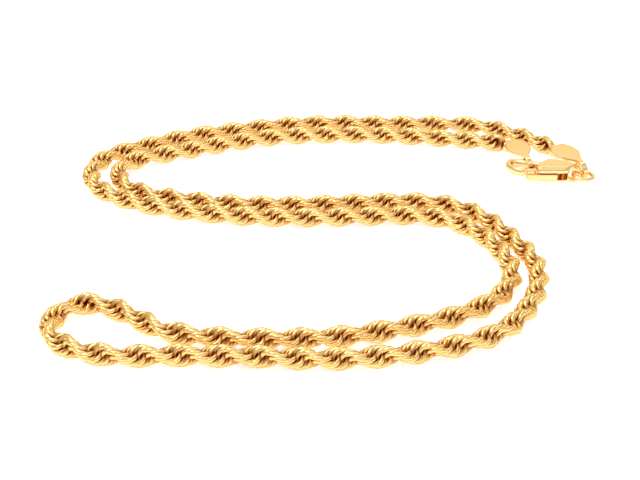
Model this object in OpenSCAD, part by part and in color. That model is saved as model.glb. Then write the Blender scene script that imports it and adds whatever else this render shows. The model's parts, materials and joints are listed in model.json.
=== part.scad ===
// Rope chain necklace with end tags and a lobster clasp, folded double and laid in an S on a flat surface.
// Units are millimetres. X runs to the right, Y away from the viewer and Z up from the surface.

/* [Rope chain] */
// Thickness of the rope across a lobe
chain_d = 4; // [3.6:0.1:4.2]
// Thickness of the rope across a waist between two lobes
waist_d = 2.4; // [1.8:0.1:2.8]
// Distance from one lobe to the next, a half turn of the rope
lobe_l = 6.4; // [6:0.1:8]

/* [End tags] */
// Length of a tag from its wide end to the middle of its loop
tag_l = 11; // [10.5:0.1:11.3]
// Width of a tag's leaf at its widest
tag_w = 5; // [4.4:0.1:5.2]
// Thickness of the leaf
tag_t = 0.7; // [0.5:0.1:0.9]
// Height of the leaf's underside at its wide end
tag_low = 2.6; // [2.5:0.1:2.8]
// Tilt of a tag about its length, left side down
tag_roll = 12; // [0:1:14]
// Outside diameter of the barrel that holds the end of the rope
barrel_d = 2.6; // [2.4:0.1:2.8]
// Length of the barrel
barrel_l = 2; // [1.8:0.1:2.4]
// Mean diameter of the loop under the narrow end
loop_d = 3.5; // [3.4:0.1:3.7]
// Thickness of the loop's strip
loop_t = 0.6; // [0.5:0.1:0.7]
// Width of the loop's strip
loop_w = 1.1; // [1:0.1:1.2]

/* [Jump ring] */
// Mean diameter of the ring
ring_d = 4.2; // [4.1:0.1:4.3]
// Wire of the ring
ring_wire = 0.8; // [0.6:0.1:0.8]

/* [Clasp body] */
// Length from the middle of the tail loop to where the hook starts
shell_l = 7.6; // [7.2:0.1:7.8]
// Width of the body
shell_w = 4.6; // [4.4:0.1:4.8]
// Thickness of the body
shell_t = 3.3; // [3.2:0.1:3.4]
// Height of the body's underside above the surface
shell_low = 0.3; // [0.2:0.1:0.5]
// Rounding of the body's edges
shell_round = 0.8; // [0.5:0.1:0.9]
// Width of the hook's arm
hook_w = 1.5; // [1.4:0.1:1.6]
// Thickness of the hook's arm
hook_t = 1.8; // [1.7:0.1:1.9]
// Height of the top of the hook's arm
hook_top = 3.15; // [3.1:0.05:3.2]
// Diameter of the hole in the tail
tail_hole = 2; // [1.95:0.05:2.1]
// Wall of the tail loop
tail_wall = 0.65; // [0.5:0.05:0.7]
// Width of the tail loop
tail_w = 1.5; // [1.2:0.1:1.6]

/* [Clasp lever] */
// Thickness of the lever where it runs inside the body
lever_t = 1.3; // [1.1:0.1:1.4]
// Height of the lever's underside
lever_low = 0.85; // [0.8:0.05:0.95]
// Length from the lever's pin to its free end
lever_l = 6.7; // [6.6:0.1:6.8]
// How far the lever stands out of the body on the near side
lever_proud = 0.5; // [0.3:0.1:0.7]
// Width of the lever's free end, which closes the hook
gate_w = 1.2; // [1.1:0.05:1.3]
// Diameter of the lever's pin
pin_d = 1; // [0.8:0.1:1]
// Diameter of the boss round the pin
boss_d = 2; // [1.8:0.1:2.1]

/* [Clearances] */
// Gap between the lever and what it passes
lever_gap = 0.1; // [0.1:0.01:0.15]
// Gap round the pin
pin_gap = 0.05; // [0.03:0.01:0.08]
// Gap between the lever's free end and the tip of the hook
tip_gap = 0.15; // [0.1:0.05:0.2]
// Gap between the end of the rope and the barrel of its tag
end_gap = 0.2; // [0.1:0.05:0.3]

/* [Hidden] */
gold = [0.9, 0.72, 0.36];
pale_gold = [0.94, 0.8, 0.46];

// The tail loop of the clasp is the point that the clasp, the ring and both tags are placed from
clasp_at = [48.7, 22.8];
tail_z = 1.7;
pin_at = [-3.2, 1.1];
// Where the free end of the lever stops short of the hook, which the hook is measured from
hook_from = pin_at.x - lever_l - tip_gap;
ring_at = [clasp_at.x + ring_d / 2 + 0.05, clasp_at.y - 0.35, 1.5];
ring_tilt = 6;
loop_z = (loop_d + loop_t) / 2 * cos(tag_roll) + loop_w / 2 * sin(tag_roll) + 0.05;
// Where the first tag's loop sits on the hook's arm
hook_seat = [1.25, 3.76];
loop_a_at = [clasp_at.x + hook_from + hook_seat.x, clasp_at.y + hook_seat.y];
loop_b_at = [ring_at.x - 0.1, ring_at.y + ring_d / 2 - 0.4];
tag_a_turn = -80;
tag_b_turn = -70;
// Direction in which the rope runs into each tag
rope_a_in = -60;
rope_b_in = -32;

// The rope's route on the surface, from the tag on the ring through the fold to the tag on the hook
route_a_points = [
    [39.3, 43.3], [31.7, 48.2], [22, 49.3], [11, 49.3], [0, 49.7], [-11, 48.7], [-21, 46], [-32, 42.3],
    [-42, 36.5], [-48, 32], [-51, 26.5], [-51, 20], [-48, 14.3], [-41, 9], [-31, 5], [-20, 2.6], [-8, 1.7],
    [4, 2.2], [14, 2.6], [20.5, 1], [25.5, -3.5], [29, -10.5], [30.6, -17.5], [30, -24], [26.5, -30.5],
    [19.5, -36], [10, -40], [0, -42.8], [-11, -43.6], [-22, -43], [-30, -40.7], [-37, -35], [-43, -31.8],
    [-47.5, -34]];
route_fold = [-49.2, -40];
route_b_points = [
    [-45.8, -45.4], [-38, -48.6], [-27, -48.6], [-14, -49], [-2, -49.7], [9, -48.4], [20, -45.1],
    [27.5, -40], [32.5, -32], [35, -24], [35.2, -16], [32.4, -7.3], [28, 1.6], [22, 7], [14.5, 8.7], [4, 8.2],
    [-8, 7.2], [-20, 7.6], [-31, 9.8], [-39.5, 13], [-44.3, 18], [-45.6, 24], [-42.5, 29.7], [-33, 34.3],
    [-23, 38.8], [-13, 42.1], [-2, 43.2], [9, 43], [18, 41.9], [28, 40.2]];
steps_per_span = 12;

function along(p, turn, dist) = p + dist * [cos(turn), sin(turn)];

// Wide end of a tag, the joint of its barrel, and the end of the rope before that barrel
function tag_start(loop_at, turn) = along(loop_at, turn, -tag_l);
function barrel_joint(loop_at, turn) = along(tag_start(loop_at, turn), turn, barrel_d / 2);
function rope_end(loop_at, turn, rope_in) = along(barrel_joint(loop_at, turn), rope_in, -barrel_l - end_gap);

end_a = rope_end(loop_b_at, tag_b_turn, rope_a_in);
end_b = rope_end(loop_a_at, tag_a_turn, rope_b_in);
lead_l = 3;
route = concat([end_a, along(end_a, rope_a_in, -lead_l)], route_a_points, [route_fold], route_b_points,
    [along(end_b, rope_b_in, -lead_l), end_b]);

// Smooth curve through the route's points
function knot(i) = route[max(0, min(len(route) - 1, i))];
function curve_point(i, t) =
    let (p = knot(i - 1), q = knot(i), r = knot(i + 1), s = knot(i + 2))
    0.5 * (2 * q + (r - p) * t + (2 * p - 5 * q + 4 * r - s) * t * t + (3 * q - p - 3 * r + s) * t * t * t);
fine = [
    for (i = [0 : len(route) - 2]) for (k = [0 : steps_per_span - 1]) curve_point(i, k / steps_per_span),
    end_b];

// Pairs of distance along the rope and place in the fine list
function step_l(i) = i + 1 < len(fine) ? norm(fine[i + 1] - fine[i]) : 0;
measure = [for (i = 0, s = 0; i < len(fine); s = s + step_l(i), i = i + 1) [s, i]];
rope_l = measure[len(measure) - 1][0];
function fine_point(u) = let (i = min(floor(u), len(fine) - 2)) fine[i] + (u - i) * (fine[i + 1] - fine[i]);
function rope_point(s) = fine_point(lookup(s, measure));
function rope_dir(s) = let (d = rope_point(min(s + 0.4, rope_l)) - rope_point(max(s - 0.4, 0))) d / norm(d);

// The oval section makes half a turn for each lobe, sooner or later where the rope was turned as it was laid.
// Each pair is a distance along the rope and the lobes gained up to there
rope_sides = 10;
rings_per_lobe = 6;
lobe_shifts = [[0, 0.2], [12, 0.3], [20, 0.15], [32, -0.15], [96, -0.25], [128, 0], [192, 0.2], [208, 0.25],
    [224, 0.2], [240, 0], [272, -0.15], [304, -0.45], [336, -0.55], [384, -0.6], [400, -0.7], [448, -0.55],
    [464, -0.45], [496, -0.25], [512, -0.2], [528, -0.35], [544, -0.5], [560, -0.25], [592, -0.15], [620, 0]];
fold_s = lookup(len(route_a_points) * steps_per_span + 2 * steps_per_span, [for (m = measure) [m[1], m[0]]]);
function oval_ring(s) =
    let (c = rope_point(s), d = rope_dir(s), twist = 180 * (s / lobe_l + lookup(s, lobe_shifts)))
    [for (j = [0 : rope_sides - 1])
        let (t = 360 * j / rope_sides, a = chain_d / 2 * cos(t), b = waist_d / 2 * sin(t))
        let (side = a * cos(twist) - b * sin(twist), up = a * sin(twist) + b * cos(twist))
        [c.x - side * d.y, c.y + side * d.x, chain_d / 2 + up]];

// One closed solid through rings of equally many points
module skin(rings) {
    sides = len(rings[0]);
    last = (len(rings) - 1) * sides;
    points = [for (r = rings) each r];
    walls = [for (i = [0 : len(rings) - 2]) for (j = [0 : sides - 1])
        let (a = i * sides + j, b = i * sides + (j + 1) % sides)
        each [[a, b + sides, b], [a, a + sides, b + sides]]];
    ends = [[for (j = [0 : sides - 1]) j], [for (j = [sides - 1 : -1 : 0]) last + j]];
    polyhedron(points = points, faces = concat(walls, ends), convexity = 10);
}

module rope(from, to) {
    count = round((to - from) / lobe_l * rings_per_lobe);
    skin([for (k = [0 : count]) oval_ring(from + (to - from) * k / count)]);
}

module chain_a() {
    color(gold) rope(0, fold_s);
}

module chain_b() {
    color(gold) rope(fold_s, rope_l);
}

// Half the leaf's width along its length, each as a share of the whole
leaf_shares = [[0, 0.42], [0.06, 0.68], [0.16, 0.88], [0.28, 0.98], [0.4, 1], [0.52, 0.96], [0.64, 0.84],
    [0.76, 0.6], [0.88, 0.36], [0.98, 0.24]];
module leaf() {
    near = [for (p = leaf_shares) [p.x * tag_l, -p.y * tag_w / 2]];
    far = [for (i = [len(leaf_shares) - 1 : -1 : 0]) let (p = leaf_shares[i]) [p.x * tag_l, p.y * tag_w / 2]];
    linear_extrude(tag_t) polygon(concat(near, far));
}

module torus(mean_d, wire) {
    rotate_extrude($fn = 40) translate([mean_d / 2, 0]) circle(d = wire, $fn = 20);
}

module strip_loop() {
    rotate_extrude($fn = 48) translate([(loop_d - loop_t) / 2, -loop_w / 2]) square([loop_t, loop_w]);
}

module end_tag(loop_at, turn, rope_in) {
    joint = barrel_joint(loop_at, turn);
    barrel_sink = 0.15;
    barrel_z = tag_low + tag_t - barrel_d / 2 - barrel_sink;
    tip_h = (loop_d + loop_t) / 2 - tag_t;
    slope = atan((loop_z + tip_h - tag_low) / tag_l);
    translate([loop_at.x, loop_at.y, loop_z]) rotate([0, 0, turn]) rotate([tag_roll, 0, 0]) {
        translate([-tag_l, 0, tag_low - loop_z]) rotate([0, -slope, 0]) leaf();
        rotate([90, 0, 0]) strip_loop();
    }
    translate([joint.x, joint.y, barrel_z]) sphere(d = barrel_d, $fn = 32);
    translate([joint.x, joint.y, barrel_z]) rotate([0, 0, rope_in]) rotate([0, -90, 0])
        cylinder(h = barrel_l, d = barrel_d, $fn = 32);
}

module end_tag_a() {
    color(pale_gold) end_tag(loop_a_at, tag_a_turn, rope_b_in);
}

module end_tag_b() {
    color(pale_gold) end_tag(loop_b_at, tag_b_turn, rope_a_in);
}

module jump_ring() {
    color(pale_gold) translate(ring_at) rotate([0, ring_tilt, 0]) torus(ring_d, ring_wire);
}

// The clasp's own frame has the tail loop at its origin and the hook towards -X
near_y = -1.2;
far_y = near_y + shell_w;
shell_top = shell_low + shell_t;
slot_low = lever_low - lever_gap;
slot_t = lever_t + 2 * lever_gap;
slot_deep = pin_at.y + boss_d / 2 + lever_gap - near_y;
slot_end = -1.2;

// Middle line of the hook's arm and the arm's share of its full width at each point
hook_route = [[4.85, 2, 1], [3.55, 2.9, 1], [2.25, 3.45, 1], [0.75, 3.8, 1], [-0.85, 4.4, 1], [-2.05, 4.6, 1],
    [-2.85, 3.8, 0.98], [-3.05, 2.5, 0.95], [-2.7, 1.2, 0.9], [-1.75, 0.2, 0.85], [-1.1, -0.28, 0.82],
    [-0.45, -0.47, 0.8], [0.15, -0.34, 0.78]];
hook_sides = 12;
function hook_dir(i) =
    let (p = hook_route[max(0, i - 1)], q = hook_route[min(len(hook_route) - 1, i + 1)])
    [q.x - p.x, q.y - p.y] / norm([q.x - p.x, q.y - p.y]);
function hook_ring(i) =
    let (p = hook_route[i], d = hook_dir(i))
    [for (j = [0 : hook_sides - 1])
        let (t = 360 * (j + 0.5) / hook_sides, side = p[2] * hook_w / 2 * sign(cos(t)) * pow(abs(cos(t)), 0.7))
        let (up = hook_t / 2 * sign(sin(t)) * pow(abs(sin(t)), 0.7))
        [hook_from + p.x - side * d.y, p.y + side * d.x, hook_top - hook_t / 2 + up]];

module hook() {
    skin([for (i = [0 : len(hook_route) - 1]) hook_ring(i)]);
}

// Middle points of the body's rounded corners, and the way each side of the body faces
shell_corners = [[-shell_l, near_y], [-1, near_y], [1.1, near_y + 1.6], [0.9, far_y - 1.9], [-0.8, far_y - 0.3],
    [-shell_l + 2, far_y], [-shell_l, far_y - 1.5]];
shell_inward = [[1, 1], [-0.5, 1], [-1, 0.5], [-1, -0.5], [-0.5, -1], [0.5, -1], [1, -0.5]];
function shell_centre(i) = let (k = i % len(shell_corners)) shell_corners[k] + shell_round * shell_inward[k];
function shell_facing(i) = let (d = shell_centre(i + 1) - shell_centre(i)) atan2(-d.x, d.y);
function shell_ring(r, z) =
    [for (i = [0 : len(shell_corners) - 1])
        let (c = shell_centre(i), from = shell_facing(i + len(shell_corners) - 1), to = shell_facing(i))
        let (sweep = (to - from + 720) % 360)
        for (part = [0, 0.5, 1]) [c.x + r * cos(from + part * sweep), c.y + r * sin(from + part * sweep), z]];

// Rings that bend over from the body's flat sides to its flat top and underside
module shell() {
    r = shell_round;
    full_bend = 75;
    shares = [1, 0.67, 0.33, 0];
    reach = [for (a = shares) r * cos(a * full_bend)];
    rise = [for (a = shares) r * sin(a * full_bend) / sin(full_bend)];
    skin(concat(
        [for (i = [0 : 3]) shell_ring(reach[i], shell_low + r - rise[i])],
        [for (i = [3 : -1 : 0]) shell_ring(reach[i], shell_top - r + rise[i])]));
}

module tail_loop() {
    rotate([90, 0, 0]) translate([0, 0, -tail_w / 2])
        cylinder(h = tail_w, d = tail_hole + 2 * tail_wall, $fn = 48);
}

// Room for the jump ring on both sides of the tail loop, under the roof of the body
module ring_space() {
    room = tail_hole / 2 + lever_gap;
    for (side = [0, 1]) mirror([0, side, 0])
        translate([-room, tail_w / 2, -1]) cube([shell_w + room, shell_w, tail_z + room + 1]);
}

module clasp_body() {
    color(pale_gold) translate([clasp_at.x, clasp_at.y, 0]) {
        difference() {
            union() {
                shell();
                hook();
                translate([0, 0, tail_z]) tail_loop();
            }
            translate([0, -shell_w, tail_z]) rotate([-90, 0, 0])
                cylinder(h = 2 * shell_w, d = tail_hole, $fn = 48);
            ring_space();
            translate([-shell_l - 1, near_y - 1, slot_low])
                cube([slot_end + shell_l + 1, slot_deep + 1, slot_t]);
        }
        translate([pin_at.x, pin_at.y, shell_low + 0.3]) cylinder(h = shell_t - 1, d = pin_d, $fn = 32);
    }
}

// Part of the lever's outline seen from above, between two lines and within the lever's reach round the pin
module lever_plan(to_x, outer_y, width) {
    from_x = pin_at.x - lever_l - 1;
    intersection() {
        translate([from_x, outer_y]) square([to_x - from_x, width]);
        translate(pin_at) circle(r = lever_l, $fn = 96);
    }
}

module clasp_lever() {
    gate_x = -shell_l - 1.5 * lever_gap;
    gate_in = 0.2;
    strip_to = -3.4;
    strip_in = 0.8;
    arm_l = 2.8;
    color(pale_gold) translate([clasp_at.x, clasp_at.y, 0]) difference() {
        union() {
            translate([0, 0, lever_low]) linear_extrude(lever_t) {
                lever_plan(strip_to, near_y - lever_proud, lever_proud + strip_in);
                translate(pin_at) circle(d = boss_d, $fn = 32);
                polygon([[pin_at.x - arm_l, near_y], [strip_to, near_y], [pin_at.x + boss_d / 2, pin_at.y],
                    [pin_at.x - boss_d / 2, pin_at.y]]);
            }
            translate([0, 0, lever_low]) linear_extrude(hook_top - lever_low - 0.1)
                lever_plan(gate_x, near_y + gate_in, gate_w);
        }
        translate([pin_at.x, pin_at.y, 0]) cylinder(h = hook_top, d = pin_d + 2 * pin_gap, $fn = 32);
    }
}

chain_a();
chain_b();
end_tag_a();
end_tag_b();
jump_ring();
clasp_body();
clasp_lever();
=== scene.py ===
import json
import math
import random

import bpy
from mathutils import Matrix, Vector

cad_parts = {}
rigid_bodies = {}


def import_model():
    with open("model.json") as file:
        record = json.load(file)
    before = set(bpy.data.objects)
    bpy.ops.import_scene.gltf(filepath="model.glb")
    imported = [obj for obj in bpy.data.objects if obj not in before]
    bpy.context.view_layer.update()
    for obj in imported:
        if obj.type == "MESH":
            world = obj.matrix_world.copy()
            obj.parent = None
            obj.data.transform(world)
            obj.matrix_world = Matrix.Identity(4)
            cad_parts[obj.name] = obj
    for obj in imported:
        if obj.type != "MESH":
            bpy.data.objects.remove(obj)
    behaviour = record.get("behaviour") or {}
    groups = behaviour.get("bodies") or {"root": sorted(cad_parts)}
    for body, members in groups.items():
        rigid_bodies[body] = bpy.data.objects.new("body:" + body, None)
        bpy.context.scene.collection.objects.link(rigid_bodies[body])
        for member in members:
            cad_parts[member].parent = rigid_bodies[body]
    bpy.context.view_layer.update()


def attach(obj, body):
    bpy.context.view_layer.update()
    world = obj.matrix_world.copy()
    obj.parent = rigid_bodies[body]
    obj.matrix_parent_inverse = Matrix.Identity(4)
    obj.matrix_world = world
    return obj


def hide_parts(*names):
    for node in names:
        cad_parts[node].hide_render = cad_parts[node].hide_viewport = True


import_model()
print("frame loaded")

camera = {
    "place": (-0.0039, -0.2354, 0.1189), "lookDown": 27.2, "lens": 76.5, "sensor": 36.0, "clipStart": 0.01}

bpy.ops.object.camera_add(location=camera["place"], rotation=(math.radians(90 - camera["lookDown"]), 0, 0))
photoCamera = bpy.context.object
photoCamera.name = "photoCamera"
photoCamera.data.lens = camera["lens"]
photoCamera.data.sensor_width = camera["sensor"]
photoCamera.data.clip_start = camera["clipStart"]
bpy.context.scene.camera = photoCamera
print("camera set")

# The hard pieces are shaped in millimetres round their own origin and shrunk to metres when they are placed.

mm = 0.001
mergeDistance = 0.001
nearby = 0.01  # how far off a vertex may be from the place where it is looked for
facing = 0.9  # how much of a face's normal has to point the way that is looked for
spare = 1  # how far a block or a cutter reaches past the shape


def deselectAll():
    for other in bpy.context.view_layer.objects.selected:
        other.select_set(False)


def selectOnly(*pieces):
    deselectAll()
    for piece in pieces:
        piece.select_set(True)
    bpy.context.view_layer.objects.active = pieces[0]


def startPiece(name):
    piece = bpy.context.object
    piece.name = name
    piece.data.name = name
    return piece


def pick(piece, mode, test):
    # leaves the piece in edit mode with the vertices, edges or faces that pass the test selected
    selectOnly(piece)
    bpy.ops.object.mode_set(mode="EDIT")
    bpy.ops.mesh.select_mode(type=mode)
    bpy.ops.mesh.select_all(action="DESELECT")
    bpy.ops.object.mode_set(mode="OBJECT")
    mesh = piece.data
    for part in {"VERT": mesh.vertices, "EDGE": mesh.edges, "FACE": mesh.polygons}[mode]:
        if mode == "VERT":
            part.select = test(part.co)
        elif mode == "EDGE":
            part.select = all(test(mesh.vertices[v].co) for v in part.vertices)
        else:
            part.select = test(part.center, part.normal)
    bpy.ops.object.mode_set(mode="EDIT")


def leaveEdit(recalculate=False):
    if recalculate:
        bpy.ops.mesh.select_all(action="SELECT")
        bpy.ops.mesh.remove_doubles(threshold=mergeDistance)
        bpy.ops.mesh.normals_make_consistent(inside=False)
    bpy.ops.object.mode_set(mode="OBJECT")


def applyModifier(piece, kind, **settings):
    selectOnly(piece)
    modifier = piece.modifiers.new(kind.title(), kind)
    for key, value in settings.items():
        setattr(modifier, key, value)
    bpy.ops.object.modifier_apply(modifier=modifier.name)


def combine(piece, tool, operation):
    applyModifier(piece, "BOOLEAN", operation=operation, object=tool, solver="EXACT")
    bpy.data.objects.remove(tool)


def joinPieces(pieces, name):
    selectOnly(*pieces)
    bpy.ops.object.join()
    return startPiece(name)


def smoothPiece(piece, angle=None):
    selectOnly(piece)
    if angle is None:
        bpy.ops.object.shade_smooth()
    else:
        bpy.ops.object.shade_smooth_by_angle(angle=math.radians(angle))


def melt(piece, grain, times):
    # a cast look: the surface is made anew in even faces and its edges run smooth
    applyModifier(piece, "REMESH", mode="VOXEL", voxel_size=grain)
    applyModifier(piece, "SMOOTH", factor=0.5, iterations=times)


def cutAlong(piece, lines):
    # keeps what lies on the left of each line, seen from above
    for (ax, ay), (bx, by) in lines:
        pick(piece, "FACE", lambda centre, normal: True)
        bpy.ops.mesh.bisect(
            plane_co=(ax, ay, 0), plane_no=(by - ay, ax - bx, 0), use_fill=True, clear_outer=True)
        leaveEdit(recalculate=True)


def putPiece(piece, place, turn=0.0):
    # from millimetres round the origin to its place in metres, with the place kept in the mesh
    selectOnly(piece)
    piece.location = [c * mm for c in place]
    piece.rotation_euler = (0, 0, math.radians(turn))
    piece.scale = (mm, mm, mm)
    bpy.ops.object.transform_apply(location=True, rotation=True, scale=True)


def block(low, high):
    size = [h - l for l, h in zip(low, high)]
    centre = [(h + l) / 2 for l, h in zip(low, high)]
    deselectAll()
    bpy.ops.mesh.primitive_cube_add(size=1, location=centre)
    cube = bpy.context.object
    cube.scale = size
    bpy.ops.object.transform_apply(location=True, rotation=True, scale=True)
    return cube


def rod(radius, low, high, axis="Z", sides=48):
    # a round bar from the point low to the point high, which lie along the axis
    length = {"X": 0, "Y": 1, "Z": 2}[axis]
    turn = {"X": (0, math.pi / 2, 0), "Y": (math.pi / 2, 0, 0), "Z": (0, 0, 0)}[axis]
    deselectAll()
    bpy.ops.mesh.primitive_cylinder_add(
        vertices=sides, radius=radius, depth=high[length] - low[length],
        location=[(l + h) / 2 for l, h in zip(low, high)], rotation=turn)
    bpy.ops.object.transform_apply(location=True, rotation=True, scale=True)
    return bpy.context.object


class Signal:
    # one output of a shader node, which can be used in Python sums
    def __init__(self, shader, socket):
        self.shader = shader
        self.socket = socket

    def maths(self, operation, other, swap=False):
        values = (other, self) if swap else (self, other)
        return self.shader.node("ShaderNodeMath", {"operation": operation}, values)[0]

    def __add__(self, other):
        return self.maths("ADD", other)

    def __radd__(self, other):
        return self.maths("ADD", other, swap=True)

    def __sub__(self, other):
        return self.maths("SUBTRACT", other)

    def __rsub__(self, other):
        return self.maths("SUBTRACT", other, swap=True)

    def __mul__(self, other):
        return self.maths("MULTIPLY", other)

    def __rmul__(self, other):
        return self.maths("MULTIPLY", other, swap=True)

    def __pow__(self, other):
        return self.maths("POWER", other)


class Shader:
    def __init__(self, name):
        self.material = bpy.data.materials.new(name)
        self.material.use_nodes = True
        self.tree = self.material.node_tree
        self.tree.nodes.clear()

    def node(self, kind, settings, values):
        # values are given in the order of the sockets, or by the sockets' names or numbers
        made = self.tree.nodes.new(kind)
        for key, value in settings.items():
            setattr(made, key, value)
        named = values.items() if isinstance(values, dict) else enumerate(values)
        for socket, value in named:
            if isinstance(value, Signal):
                self.tree.links.new(value.socket, made.inputs[socket])
            else:
                made.inputs[socket].default_value = value
        return [Signal(self, output) for output in made.outputs]

    def place(self):
        # the piece's own coordinates
        return self.node("ShaderNodeTexCoord", {}, {})[3]

    def noise(self, scale, detail=2.0):
        return self.node("ShaderNodeTexNoise", {}, {"Vector": self.place(), "Scale": scale, "Detail": detail})[0]

    def mixColours(self, factor, first, second):
        return self.node("ShaderNodeMix", {"data_type": "RGBA"}, {0: factor, 6: first, 7: second})[2]

    def attribute(self, name):
        return self.node("ShaderNodeAttribute", {"attribute_name": name}, {})[2]

    def bump(self, height, strength, distance):
        return self.node("ShaderNodeBump", {}, {"Strength": strength, "Distance": distance, "Height": height})[0]

    def finish(self, values):
        surface = self.node("ShaderNodeBsdfPrincipled", {}, values)[0]
        self.node("ShaderNodeOutputMaterial", {}, {"Surface": surface})
        return self.material


# rope gold: pale and mid are the metal's own colour, the dark brown one is painted shade for the middle of the
# rope and the grooves between links
ropeLooks = {
    "pale": (0.95, 0.65, 0.27, 1), "mid": (0.9, 0.55, 0.19, 1), "paintedShade": (0.29, 0.07, 0.001, 1),
    "edgeTint": (1, 0.84, 0.5, 1), "cloudScale": 260.0, "scratchScale": 2600.0, "scratchDetail": 3.0,
    "roughness": 0.18, "mottling": 0.1, "bump": 0.12, "bumpDepth": 0.00002,
    "paintedShadeCurve": 1.5, "dulling": 0.2}

claspLooks = {
    "pale": (0.93, 0.66, 0.33, 1), "mid": (0.89, 0.57, 0.24, 1),
    "edgeTint": (1, 0.84, 0.5, 1), "cloudScale": 260.0, "scratchScale": 2600.0, "scratchDetail": 4.0,
    "roughness": 0.22, "mottling": 0.12, "bump": 0.1, "bumpDepth": 0.00002}


def makeGold(name, looks):
    # polished gold with faint clouds of colour; on the rope, painted shade darkens it towards the middle of the
    # rope and in the grooves between links, and it is duller there
    gold = Shader(name)
    colour = gold.mixColours(gold.noise(looks["cloudScale"]), looks["pale"], looks["mid"])
    roughness = looks["roughness"]
    if "paintedShade" in looks:
        # painted shade: the links' depth mask mixes the colour towards the dark painted shade colour
        depth = gold.attribute("depth")
        colour = gold.mixColours(depth ** looks["paintedShadeCurve"], colour, looks["paintedShade"])
        roughness = roughness + looks["dulling"] * depth
    fine = gold.noise(looks["scratchScale"], looks["scratchDetail"])
    roughness = roughness + looks["mottling"] * (fine - 0.5)
    return gold.finish({
        "Base Color": colour, "Metallic": 1.0, "Roughness": roughness, "Specular Tint": looks["edgeTint"],
        "Normal": gold.bump(fine, looks["bump"], looks["bumpDepth"])})


ropeGold = makeGold("ropeGold", ropeLooks)
claspGold = makeGold("claspGold", claspLooks)
print("materials made")


def dress(piece, material, body, nodes):
    piece.data.materials.clear()
    piece.data.materials.append(material)
    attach(piece, body)
    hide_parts(*nodes)


# The clasp and its lever are placed from the middle of the clasp's tail loop.

claspPlace = {"tail": (48.7, 22.8)}

claspBody = {
    "outline": [(-7.6, -1.2), (-1.0, -1.2), (1.1, 0.4), (0.9, 1.5), (-0.8, 3.1), (-5.6, 3.4), (-7.6, 1.9)],
    "cornerCuts": [0.8, 1.1, 0.54, 0.54, 1.3, 1.2, 0.85], "cornerSteps": 5,
    "low": 0.3, "high": 3.6, "rounding": 1.0, "bends": [0, 17, 34, 51, 68],
    "hookRoute": [(-5.2, 2.0), (-6.5, 2.9), (-7.8, 3.45), (-9.3, 3.8), (-10.9, 4.4), (-12.1, 4.6), (-12.9, 3.8),
                  (-13.1, 2.5), (-12.75, 1.2), (-11.8, 0.2), (-11.15, -0.28), (-10.5, -0.47), (-9.93, -0.36)],
    "hookWidths": [1, 1, 1, 1, 1, 1, 0.98, 0.95, 0.9, 0.85, 0.82, 0.8, 0.78],
    "hookWidth": 1.5, "hookThick": 1.8, "hookTop": 3.15, "hookSides": 16,
    "tailHeight": 1.7, "tailHole": 1.0, "tailWall": 0.65, "tailWidth": 1.5, "tailBore": (-4, 5),
    "tailRoomX": 5, "tailRoomY": 6,
    "slotFrom": (-9, -3), "slotLow": 0.75, "slotHigh": 2.25, "slotDeep": 2.2, "slotEnd": -1.2,
    "pin": (-3.2, 1.1), "pinRadius": 0.5, "pinSink": 0.3, "grain": 0.06, "melts": 14}

lever = {
    "pin": claspBody["pin"], "pinRadius": 0.55, "bossRadius": 1.0, "length": 6.7, "tipSides": 96,
    "low": 0.85, "high": 2.15, "near": -1.7, "stripFrom": -12, "stripTo": -3.4, "stripWidth": 1.3,
    "gateHigh": 3.05, "gateNear": -1.0, "gateWidth": 1.2, "gateFrom": -7.75,
    "gateRounding": 0.55, "gateSteps": 5, "gateCorner": 40,
    "armFrom": -6, "armNear": 0.5, "armSides": [((-3.4, -1.2), (-2.2, 1.1)), ((-4.2, 1.1), (-6, -1.2))],
    "tipCutHigh": 5, "pinHoleHigh": 4, "grain": 0.06, "melts": 14}

jumpRing = {
    "place": (50.85, 22.45, 1.5), "radius": 2.1, "wire": 0.4, "wireSides": 14, "steps": 56, "seam": 2.0,
    "tilt": 6, "smoothAngle": 50}


def turnRing(angle, centre):
    # turns the selected ring about a line straight up through its centre
    bpy.ops.transform.rotate(value=-angle, orient_axis="Z", center_override=centre)


def makeHook(body):
    # a rounded bar is drawn out along the hook's route, one extrusion for each point
    middle = body["hookTop"] - body["hookThick"] / 2
    route = [Vector((x, y, middle)) for x, y in body["hookRoute"]]
    deselectAll()
    bpy.ops.mesh.primitive_circle_add(
        vertices=body["hookSides"], radius=0.5, location=route[0], rotation=(0, math.pi / 2, 0))
    hook = startPiece("hook")
    bpy.ops.object.transform_apply(location=True, rotation=True, scale=True)
    pick(hook, "VERT", lambda co: True)
    bpy.ops.transform.resize(value=(1, body["hookWidth"], body["hookThick"]), center_override=route[0])
    heading = math.pi
    width = 1.0
    for i, point in enumerate(route):
        before = route[max(0, i - 1)]
        after = route[min(len(route) - 1, i + 1)]
        if i:
            bpy.ops.mesh.extrude_region_move(TRANSFORM_OT_translate={"value": point - before})
        direction = math.atan2(after.y - before.y, after.x - before.x)
        turnRing(direction - heading, point)
        scale = body["hookWidths"][i] / width
        bpy.ops.transform.resize(value=(scale, scale, 1), center_override=point)
        heading = direction
        width = body["hookWidths"][i]
    bpy.ops.mesh.select_mode(type="EDGE")
    bpy.ops.mesh.select_all(action="SELECT")
    bpy.ops.mesh.region_to_loop()
    bpy.ops.mesh.fill_holes(sides=0)
    leaveEdit(recalculate=True)
    applyModifier(hook, "SUBSURF", levels=1, render_levels=1)
    return hook


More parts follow.
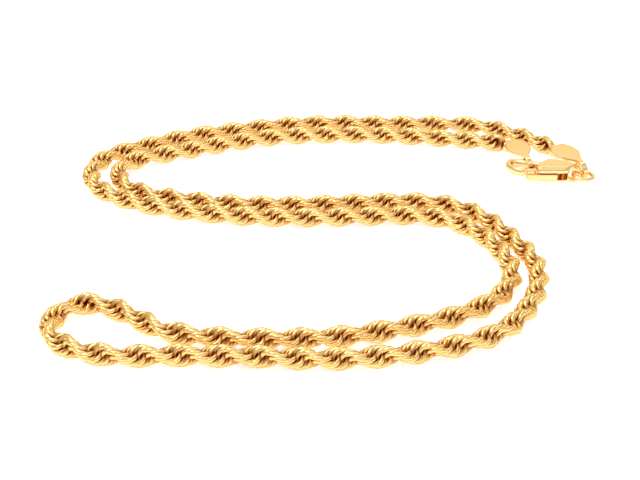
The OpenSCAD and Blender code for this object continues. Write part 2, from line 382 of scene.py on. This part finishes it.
def makeShell(body):
    # a block is cut to the outline, its corners are rounded, and its top and underside bend over in steps
    corners = body["outline"]
    radius = body["rounding"]
    xs, ys = zip(*corners)
    low, high = body["low"] + radius, body["high"] - radius
    shell = block((min(xs) - spare, min(ys) - spare, low), (max(xs) + spare, max(ys) + spare, high))
    startPiece("claspBody")
    cutAlong(shell, zip(corners, corners[1:] + corners[:1]))
    for (x, y), cut in zip(corners, body["cornerCuts"]):
        pick(shell, "EDGE", lambda co: abs(co.x - x) + abs(co.y - y) < nearby)
        bpy.ops.mesh.bevel(offset=cut, segments=body["cornerSteps"], affect="EDGES")
        leaveEdit()
    bends = [math.radians(bend) for bend in body["bends"]]
    for side in (-1, 1):
        pick(shell, "FACE", lambda centre, normal: normal.z * side > facing)
        for start, stop in zip(bends, bends[1:]):
            inward = radius * (math.cos(start) - math.cos(stop))
            upward = radius * (math.sin(stop) - math.sin(start))
            bpy.ops.mesh.inset(thickness=inward, depth=upward / math.sin(bends[-1]))
        leaveEdit()
    return shell


def makeClaspBody(body):
    shell = makeShell(body)
    combine(shell, makeHook(body), "UNION")

    # the tail loop, bored through from side to side and cleared beside
    hole, half, height = body["tailHole"], body["tailWidth"] / 2, body["tailHeight"]
    near, far = body["tailBore"]
    combine(shell, rod(hole + body["tailWall"], (0, -half, height), (0, half, height), "Y"), "UNION")
    combine(shell, rod(hole, (0, near, height), (0, far, height), "Y"), "DIFFERENCE")
    for low, high in ((-body["tailRoomY"], -half), (half, body["tailRoomY"])):
        combine(shell, block((-hole, low, -spare), (body["tailRoomX"], high, height + hole)), "DIFFERENCE")

    # the slot for the lever, with its pin
    slot = block((*body["slotFrom"], body["slotLow"]), (body["slotEnd"], body["slotDeep"], body["slotHigh"]))
    combine(shell, slot, "DIFFERENCE")
    px, py = body["pin"]
    pinLow, pinHigh = body["low"] + body["pinSink"], body["high"] - body["pinSink"]
    combine(shell, rod(body["pinRadius"], (px, py, pinLow), (px, py, pinHigh)), "UNION")
    melt(shell, body["grain"], body["melts"])
    return shell


def makeLever(parts):
    # a strip along the near side, a gate at its tip that closes the hook, and an arm to the pin
    px, py = parts["pin"]
    near, low, high = parts["near"], parts["low"], parts["high"]
    boss, stripFrom = parts["bossRadius"], parts["stripFrom"]
    strip = block((stripFrom, near, low), (parts["stripTo"], near + parts["stripWidth"], high))
    gateFar = parts["gateNear"] + parts["gateWidth"]
    gate = block((stripFrom, parts["gateNear"], low), (parts["gateFrom"], gateFar, parts["gateHigh"]))
    applyModifier(gate, "BEVEL", width=parts["gateRounding"], segments=parts["gateSteps"],
                  limit_method="ANGLE", angle_limit=math.radians(parts["gateCorner"]))
    combine(strip, gate, "UNION")
    tipCut = rod(parts["length"], (px, py, 0), (px, py, parts["tipCutHigh"]), sides=parts["tipSides"])
    combine(strip, tipCut, "INTERSECT")
    arm = block((parts["armFrom"], near + parts["armNear"], low), (px + boss, py, high))
    cutAlong(arm, parts["armSides"])
    combine(strip, arm, "UNION")
    combine(strip, rod(boss, (px, py, low), (px, py, high)), "UNION")
    combine(strip, rod(parts["pinRadius"], (px, py, 0), (px, py, parts["pinHoleHigh"])), "DIFFERENCE")
    strip.name = "claspLever"
    melt(strip, parts["grain"], parts["melts"])
    return strip


def makeJumpRing(ring):
    # a bent wire whose two ends meet at a fine seam
    deselectAll()
    bpy.ops.mesh.primitive_circle_add(
        vertices=ring["wireSides"], radius=ring["wire"], location=(ring["radius"], 0, 0),
        rotation=(math.pi / 2, 0, 0), fill_type="NGON")
    piece = startPiece("jumpRingWire")
    bpy.ops.object.transform_apply(location=True, rotation=True, scale=True)
    pick(piece, "FACE", lambda centre, normal: True)
    bpy.ops.mesh.spin(
        steps=ring["steps"], angle=math.radians(360 - ring["seam"]), center=(0, 0, 0), axis=(0, 0, 1))
    leaveEdit(recalculate=True)
    pick(piece, "VERT", lambda co: True)
    bpy.ops.transform.rotate(value=-math.radians(ring["tilt"]), orient_axis="Y", center_override=(0, 0, 0))
    leaveEdit()
    return piece


tailX, tailY = claspPlace["tail"]
bodyPiece = makeClaspBody(claspBody)
smoothPiece(bodyPiece)
putPiece(bodyPiece, (tailX, tailY, 0))
dress(bodyPiece, claspGold, "necklace", ["clasp_body"])
leverPiece = makeLever(lever)
smoothPiece(leverPiece)
putPiece(leverPiece, (tailX, tailY, 0))
dress(leverPiece, claspGold, "lever", ["clasp_lever"])
ringPiece = makeJumpRing(jumpRing)
smoothPiece(ringPiece, jumpRing["smoothAngle"])
putPiece(ringPiece, jumpRing["place"])
dress(ringPiece, claspGold, "necklace", ["jump_ring"])
print("clasp, lever and ring made")

endTag = {
    "length": 11.0, "width": 5.0, "thick": 0.7, "low": 2.6, "crown": 0.18, "roll": 12, "rows": 6,
    "shares": [0.42, 0.72, 0.87, 0.95, 0.99, 1.0, 1.0, 0.97, 0.9, 0.77, 0.6, 0.43, 0.3, 0.24],
    "crownSteps": [(0.4, 0.6), (0.2, 0.4)],
    "loopRadius": 2.05, "loopHole": 1.45, "loopWidth": 1.1, "loopHeight": 2.22, "loopSides": 64,
    "barrelRadius": 1.3, "barrelLength": 2.0, "barrelWall": 0.3, "barrelSink": 0.15, "barrelSides": 28,
    "barrelDepth": 0.6, "barrelDome": [(0.35, 0.94), (0.3, 0.82), (0.25, 0.62), (0.15, 0.3)],
    "grain": 0.07, "melts": 4}

ringX, ringY = jumpRing["place"][:2]
tagPlaces = {
    "endTagA": {"loop": (tailX - 8.8, tailY + 3.76), "turn": -80, "ropeIn": -32, "node": "end_tag_a"},
    "endTagB": {"loop": (ringX - 0.1, ringY + 1.7), "turn": -70, "ropeIn": -60, "node": "end_tag_b"}}


def makeLeaf(tag):
    # a leaf of sheet metal, slightly domed, that rises towards its narrow end
    columns = len(tag["shares"]) - 1
    deselectAll()
    bpy.ops.mesh.primitive_grid_add(
        x_subdivisions=columns, y_subdivisions=tag["rows"], size=1, location=(-0.5, 0, 0))
    leaf = startPiece("leaf")
    bpy.ops.object.transform_apply(location=True, rotation=True, scale=True)
    low = tag["low"] + tag["thick"]
    top = tag["loopHeight"] + tag["loopRadius"]
    pick(leaf, "VERT", lambda co: True)
    bpy.ops.transform.resize(value=(tag["length"], tag["width"], 1), center_override=(0, 0, 0))
    leaveEdit()
    for i, share in enumerate(tag["shares"]):
        x = tag["length"] * (i / columns - 1)
        pick(leaf, "VERT", lambda co: abs(co.x - x) < nearby)
        bpy.ops.transform.resize(value=(1, share, 1), center_override=(x, 0, 0))
        bpy.ops.transform.translate(value=(0, 0, low + (top - low) * i / columns))
        leaveEdit()
        for reach, lift in tag["crownSteps"]:
            side = reach * share * tag["width"]
            pick(leaf, "VERT", lambda co: abs(co.x - x) < nearby and abs(co.y) < side)
            bpy.ops.transform.translate(value=(0, 0, tag["crown"] * share * lift))
            leaveEdit()
    applyModifier(leaf, "SOLIDIFY", thickness=tag["thick"], offset=-1)
    applyModifier(leaf, "SUBSURF", levels=1, render_levels=1)
    return leaf


def makeLoop(tag):
    # a band of sheet metal bent round, which stands under the leaf's narrow end
    half, height, sides = tag["loopWidth"] / 2, tag["loopHeight"], tag["loopSides"]
    loop = rod(tag["loopRadius"], (0, -half, height), (0, half, height), "Y", sides)
    hole = rod(tag["loopHole"], (0, -half - spare, height), (0, half + spare, height), "Y", sides)
    combine(loop, hole, "DIFFERENCE")
    return loop


def makeBarrel(tag, ropeIn):
    # a round cup for the end of the rope, closed by a dome on the leaf's side
    radius, length = tag["barrelRadius"], tag["barrelLength"]
    cup = rod(radius, (-length, 0, 0), (0, 0, 0), "X", tag["barrelSides"])
    before = 1
    for reach, share in tag["barrelDome"]:
        pick(cup, "FACE", lambda centre, normal: normal.x > facing)
        bpy.ops.mesh.extrude_region_move(TRANSFORM_OT_translate={"value": (reach * radius, 0, 0)})
        bpy.ops.transform.resize(value=(1, share / before, share / before), center_override=(0, 0, 0))
        leaveEdit()
        before = share
    pick(cup, "FACE", lambda centre, normal: normal.x < -facing)
    bpy.ops.mesh.inset(thickness=tag["barrelWall"])
    bpy.ops.mesh.extrude_region_move(TRANSFORM_OT_translate={"value": (length * tag["barrelDepth"], 0, 0)})
    leaveEdit()
    pick(cup, "VERT", lambda co: True)
    bpy.ops.transform.rotate(value=-math.radians(ropeIn), orient_axis="Z", center_override=(0, 0, 0))
    joint = (radius - tag["length"], 0, tag["low"] + tag["thick"] - radius - tag["barrelSink"])
    bpy.ops.transform.translate(value=joint)
    leaveEdit()
    return cup


def makeEndTag(name, tag, place):
    # the leaf and its loop lean over to the left, and the barrel stays level with the rope
    leaning = joinPieces([makeLeaf(tag), makeLoop(tag)], "leaning")
    pick(leaning, "VERT", lambda co: True)
    bpy.ops.transform.rotate(
        value=-math.radians(tag["roll"]), orient_axis="X", center_override=(0, 0, tag["loopHeight"]))
    leaveEdit()
    piece = joinPieces([leaning, makeBarrel(tag, place["ropeIn"] - place["turn"])], name)
    melt(piece, tag["grain"], tag["melts"])
    smoothPiece(piece)
    putPiece(piece, (*place["loop"], 0), place["turn"])
    dress(piece, claspGold, "necklace", [place["node"]])


for name, place in tagPlaces.items():
    makeEndTag(name, endTag, place)
print("end tags made")

# The rope is made in metres, along the route that the CAD solids follow. Each lobe mark says how many
# half turns the rope has made at a distance along it.

rope = {
    "height": 0.002, "lobe": 0.0064, "linksPerLobe": 10, "seed": 4, "ownTurn": 2.0,
    "linkRadius": 0.00152, "wireRadius": 0.00045, "linkOut": 0.00003, "linkLean": -10,
    "linkSides": 16, "wireSides": 6,
    # where the painted shade starts and how quickly it fades, inside the rope and in the grooves between links
    "insideShadeFrom": 0.7, "insideShadeFade": 0.4, "grooveShadeFrom": 0.6, "grooveShadeFade": 0.6,
    "endGap": 0.0002, "firstLink": 0.0012, "lead": 0.003, "stepsPerSpan": 12, "headingStep": 0.0004,
    "lobeMarks": [
        (0, 0.2), (0.012, 2.175), (0.02, 3.275), (0.032, 4.85), (0.096, 14.75), (0.128, 20), (0.192, 30.2),
        (0.208, 32.75), (0.224, 35.2), (0.24, 37.5), (0.272, 42.35), (0.304, 47.05), (0.336, 51.95),
        (0.384, 59.4), (0.4, 61.8), (0.448, 69.45), (0.464, 72.05), (0.496, 77.25), (0.512, 79.8),
        (0.528, 82.15), (0.544, 84.5), (0.56, 87.25), (0.592, 92.35), (0.62, 96.9)],
    "outward": [
        (0.0393, 0.0433), (0.0317, 0.0482), (0.022, 0.0493), (0.011, 0.0493), (0, 0.0497), (-0.011, 0.0487),
        (-0.021, 0.046), (-0.032, 0.0423), (-0.042, 0.0365), (-0.048, 0.032), (-0.051, 0.0265), (-0.051, 0.02),
        (-0.048, 0.0143), (-0.041, 0.009), (-0.031, 0.005), (-0.02, 0.0026), (-0.008, 0.0017), (0.004, 0.0022),
        (0.014, 0.0026), (0.0205, 0.001), (0.0255, -0.0035), (0.029, -0.0105), (0.0306, -0.0175), (0.03, -0.024),
        (0.0265, -0.0305), (0.0195, -0.036), (0.01, -0.04), (0, -0.0428), (-0.011, -0.0436), (-0.022, -0.043),
        (-0.03, -0.0407), (-0.037, -0.035), (-0.043, -0.0318), (-0.0475, -0.034)],
    "fold": (-0.0492, -0.04),
    "back": [
        (-0.0458, -0.0454), (-0.038, -0.0486), (-0.027, -0.0486), (-0.014, -0.049), (-0.002, -0.0497),
        (0.009, -0.0484), (0.02, -0.0451), (0.0275, -0.04), (0.0325, -0.032), (0.035, -0.024), (0.0352, -0.016),
        (0.0324, -0.0073), (0.028, 0.0016), (0.022, 0.007), (0.0145, 0.0087), (0.004, 0.0082), (-0.008, 0.0072),
        (-0.02, 0.0076), (-0.031, 0.0098), (-0.0395, 0.013), (-0.0443, 0.018), (-0.0456, 0.024),
        (-0.0425, 0.0297), (-0.033, 0.0343), (-0.023, 0.0388), (-0.013, 0.0421), (-0.002, 0.0432), (0.009, 0.043),
        (0.018, 0.0419), (0.028, 0.0402)]}

linkPitch = rope["lobe"] / rope["linksPerLobe"]


def along(point, turn, distance):
    angle = math.radians(turn)
    return Vector((point[0] + distance * math.cos(angle), point[1] + distance * math.sin(angle)))


def ropeEnd(place):
    # where the rope stops, just before the barrel of its tag
    loop = [c * mm for c in place["loop"]]
    joint = along(loop, place["turn"], (endTag["barrelRadius"] - endTag["length"]) * mm)
    return along(joint, place["ropeIn"], -endTag["barrelLength"] * mm - rope["endGap"])


def finePoints():
    # a smooth curve through the ends, a lead straight out of each, and the chosen points between
    start, stop = tagPlaces["endTagB"], tagPlaces["endTagA"]
    first, last = ropeEnd(start), ropeEnd(stop)
    knots = [first, along(first, start["ropeIn"], -rope["lead"])]
    knots += [Vector(p) for p in rope["outward"] + [rope["fold"]] + rope["back"]]
    knots += [along(last, stop["ropeIn"], -rope["lead"]), last]
    points = []
    for i in range(len(knots) - 1):
        a, b, c, d = [knots[max(0, min(len(knots) - 1, i + n))] for n in (-1, 0, 1, 2)]
        for k in range(rope["stepsPerSpan"]):
            t = k / rope["stepsPerSpan"]
            points.append(0.5 * (2 * b + (c - a) * t + (2 * a - 5 * b + 4 * c - d) * t**2
                                 + (3 * b - a - 3 * c + d) * t**3))
    return points + [last]


class Route:
    # finds the place at a distance along the rope
    def __init__(self, points):
        self.points = points
        self.reach = [0.0]
        for a, b in zip(points, points[1:]):
            self.reach.append(self.reach[-1] + (b - a).length)
        self.length = self.reach[-1]

    def place(self, distance):
        distance = max(0.0, min(self.length, distance))
        low, high = 0, len(self.reach) - 1
        while high - low > 1:
            middle = (low + high) // 2
            low, high = (middle, high) if self.reach[middle] <= distance else (low, middle)
        share = (distance - self.reach[low]) / (self.reach[high] - self.reach[low])
        return self.points[low].lerp(self.points[high], share)

    def heading(self, distance):
        step = rope["headingStep"]
        return (self.place(distance + step) - self.place(distance - step)).normalized()


def lobesAt(distance):
    for (a, lobesA), (b, lobesB) in zip(rope["lobeMarks"], rope["lobeMarks"][1:]):
        if distance <= b:
            break
    return lobesA + (lobesB - lobesA) * (distance - a) / (b - a)


def makeLink():
    # one link, standing on the rope's line at the origin, which runs along X
    deselectAll()
    bpy.ops.mesh.primitive_torus_add(
        major_segments=rope["linkSides"], minor_segments=rope["wireSides"],
        major_radius=rope["linkRadius"], minor_radius=rope["wireRadius"])
    link = startPiece("link")
    pick(link, "VERT", lambda co: True)
    bpy.ops.transform.rotate(value=math.pi / 2, orient_axis="X", center_override=(0, 0, 0))
    bpy.ops.transform.rotate(value=-math.radians(rope["linkLean"]), orient_axis="Z", center_override=(0, 0, 0))
    bpy.ops.transform.translate(value=(0, 0, rope["linkOut"]))
    leaveEdit()
    smoothPiece(link)

    # the depth is a mask of painted shade: it grows towards the middle of the rope and on the sides that face the
    # next link, where the links shade each other
    depth = link.data.attributes.new("depth", "FLOAT", "POINT")
    for vertex, value in zip(link.data.vertices, depth.data):
        away = Vector((0, vertex.co.y, vertex.co.z))
        inside = (rope["insideShadeFrom"] - away.length / rope["height"]) / rope["insideShadeFade"]
        grooveShade = (rope["grooveShadeFrom"] - vertex.normal.dot(away.normalized())) / rope["grooveShadeFade"]
        value.value = min(1.0, max(0.0, inside, grooveShade))
    return link


def layLinks(link, route, first, last, name):
    # copies of the link, each turned half round and a little more than the one before
    chance = random.Random(rope["seed"] + first)
    copies = []
    for k in range(first, last):
        distance = rope["firstLink"] + k * linkPitch
        point, ahead = route.place(distance), route.heading(distance)
        turn = 180 * lobesAt(distance) - 90 + 180 * (k % 2)
        turn += chance.uniform(-1, 1) * rope["ownTurn"]
        frameAtLink = Matrix(((ahead.x, -ahead.y, 0, point.x), (ahead.y, ahead.x, 0, point.y),
                              (0, 0, 1, rope["height"]), (0, 0, 0, 1)))
        mesh = link.data.copy()
        mesh.transform(frameAtLink @ Matrix.Rotation(math.radians(turn), 4, "X"))
        copies.append(bpy.data.objects.new("link", mesh))
        bpy.context.collection.objects.link(copies[-1])
    return joinPieces(copies, name)


ropeRoute = Route(finePoints())
knotsToFold = len(rope["outward"]) + 2  # with the end and the lead out of it
foldPlace = ropeRoute.reach[knotsToFold * rope["stepsPerSpan"]]
foldLink = int((foldPlace - rope["firstLink"]) / linkPitch)
lastLink = int((ropeRoute.length - 2 * rope["firstLink"]) / linkPitch) + 1
link = makeLink()
for name, first, last, node in (("ropeOutward", 0, foldLink, "chain_a"),
                                ("ropeBack", foldLink, lastLink, "chain_b")):
    half = layLinks(link, ropeRoute, first, last, name)
    dress(half, ropeGold, "necklace", [node])
bpy.data.objects.remove(link)
print("rope made,", lastLink, "links,", round(ropeRoute.length / mm, 1), "mm")

# The floor is plain pale paper with a faint glow of its own, under soft boxes that aim at the middle.

studio = {
    "floorSize": 3.0, "floorDrop": 0.00002, "floorGlow": 0.62, "floorGrain": 40.0, "floorRoughness": 0.7,
    "floorColour": (0.66, 0.67, 0.68, 1), "floorPale": (0.95, 0.95, 0.94, 1), "glowColour": (1, 1, 1, 1),
    "worldColour": (1, 1, 1, 1), "worldStrength": 0.7, "viewTransform": "Standard",
    "boxes": {
        "keyBox": {"place": (-0.25, -0.1, 0.5), "size": (0.3, 0.3), "power": 1.2},
        "backBox": {"place": (0.05, 0.5, 0.32), "size": (0.9, 0.45), "power": 0.6},
        "topBox": {"place": (0, 0.15, 0.6), "size": (0.8, 0.15), "power": 0.9},
        "frontBox": {"place": (0.05, -0.5, 0.5), "size": (0.8, 0.3), "power": 0.6}}}


def addSoftbox(name, box):
    bpy.ops.object.light_add(type="AREA", location=box["place"])
    lamp = bpy.context.object
    lamp.name = name
    lamp.data.shape = "RECTANGLE"
    lamp.data.size, lamp.data.size_y = box["size"]
    lamp.data.energy = box["power"]
    towardsMiddle = Vector((0, 0, 0)) - Vector(box["place"])
    lamp.rotation_euler = towardsMiddle.to_track_quat("-Z", "Y").to_euler()


deselectAll()
bpy.ops.mesh.primitive_plane_add(size=studio["floorSize"], location=(0, 0, -studio["floorDrop"]))
floor = startPiece("floor")
paper = Shader("paper")
paperColour = paper.mixColours(paper.noise(studio["floorGrain"]), studio["floorColour"], studio["floorPale"])
floor.data.materials.append(paper.finish({
    "Base Color": paperColour, "Roughness": studio["floorRoughness"],
    "Emission Color": studio["glowColour"], "Emission Strength": studio["floorGlow"]}))

world = bpy.data.worlds.new("studioAir")
bpy.context.scene.world = world
world.use_nodes = True
air = world.node_tree.nodes["Background"]
air.inputs["Color"].default_value = studio["worldColour"]
air.inputs["Strength"].default_value = studio["worldStrength"]
for name, box in studio["boxes"].items():
    addSoftbox(name, box)
bpy.context.scene.view_settings.view_transform = studio["viewTransform"]
print("studio set")
